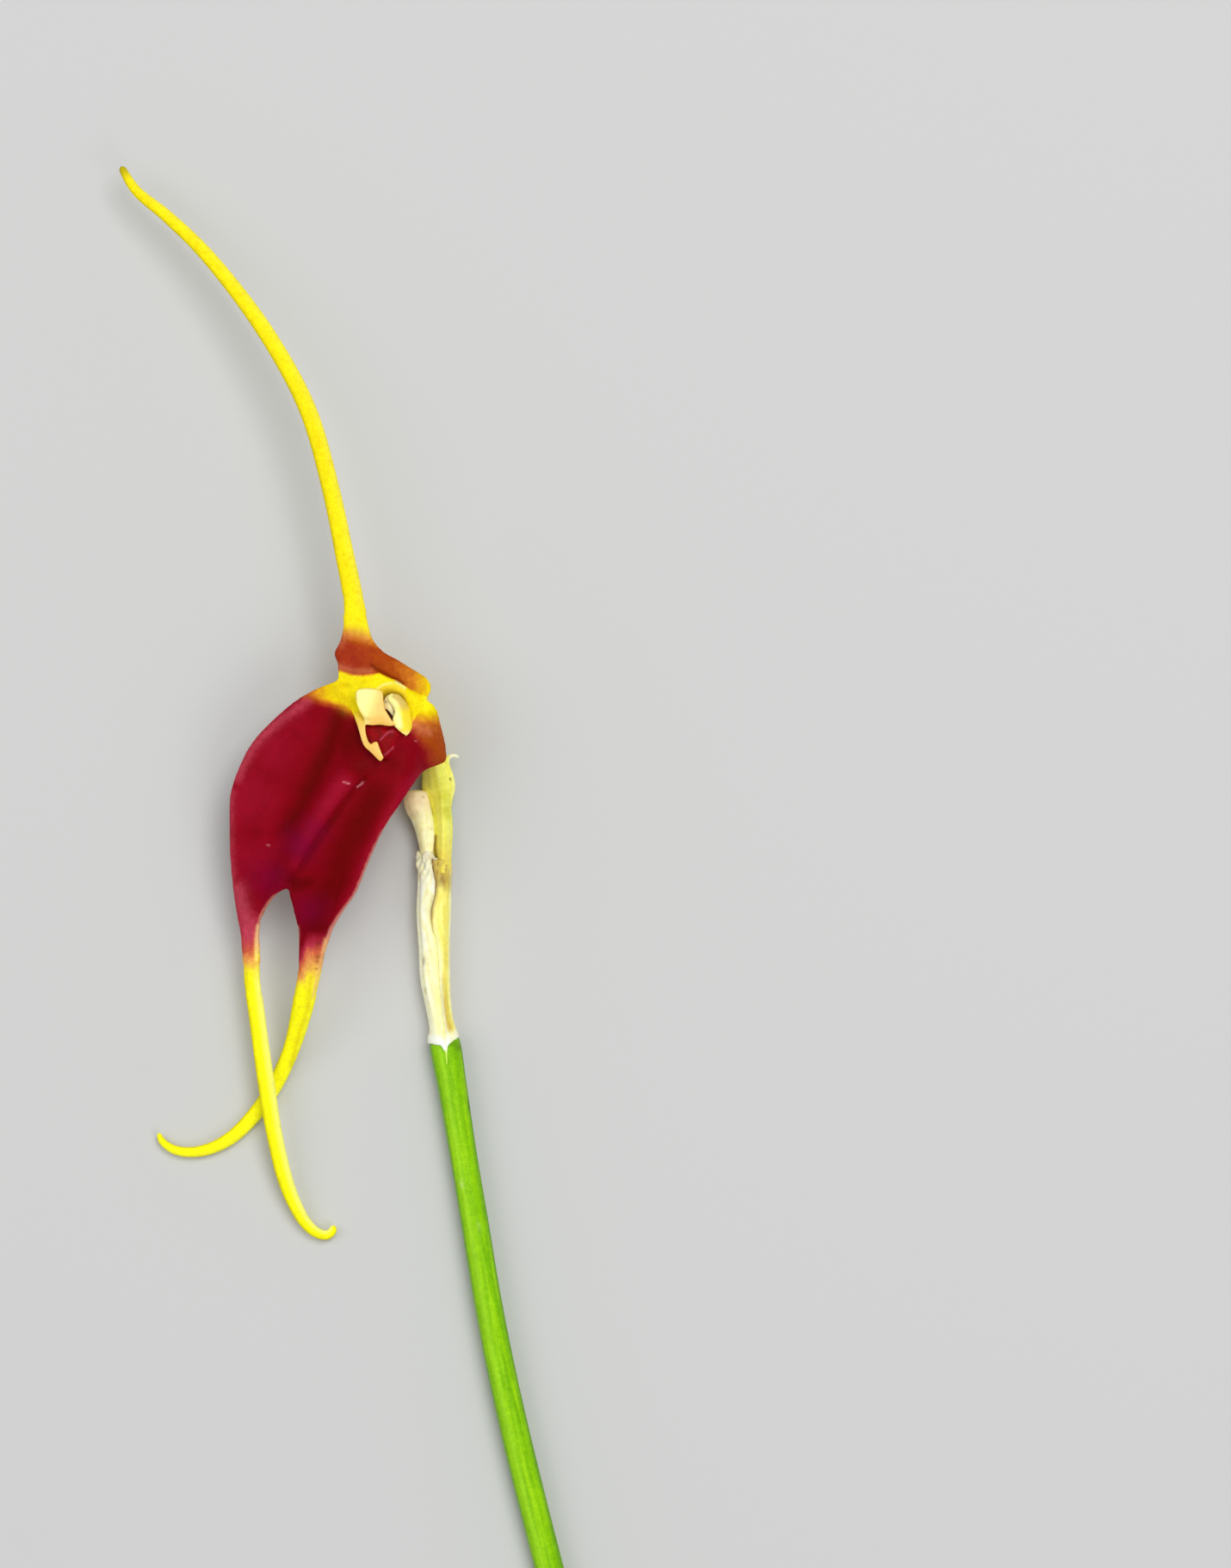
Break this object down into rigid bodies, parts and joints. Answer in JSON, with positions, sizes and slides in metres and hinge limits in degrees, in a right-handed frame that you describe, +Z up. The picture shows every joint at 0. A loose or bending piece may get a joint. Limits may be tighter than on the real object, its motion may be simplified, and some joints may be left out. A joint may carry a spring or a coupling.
{
  "type": "masdevallia orchid bloom",
  "caption": "Cut orchid bloom with a crimson two-lobed blade, long yellow sepal tails and a green stem, laid down flat.",
  "frame": {"origin": "on the surface under the middle of the bounding box, beside the stem just below the bloom", "axes": "+Y from the stem's cut end towards the bloom's upper tail, +Z up from the surface into the bloom's face, +X to the right of the bloom seen from above"},
  "size_m": [0.0379, 0.1232, 0.0084],
  "materials": {
    "stem_green": "satin",
    "sheath_papery": "matte",
    "pedicel_cream": "satin",
    "bract_yellow_green": "satin",
    "ovary_green": "satin",
    "sepal_crimson_yellow": "satin",
    "petal_cream": "satin",
    "lip_crimson": "satin",
    "column_cream": "satin"
  },
  "bodies": {
    "root": {"peduncle": "stem_green", "sheath_bract": "sheath_papery", "old_pedicel": "pedicel_cream", "flower_bract": "bract_yellow_green", "ovary": "ovary_green", "calyx": "sepal_crimson_yellow", "petal_left": "petal_cream", "petal_right": "petal_cream", "lip": "lip_crimson", "column": "column_cream"}
  },
  "joints": []
}
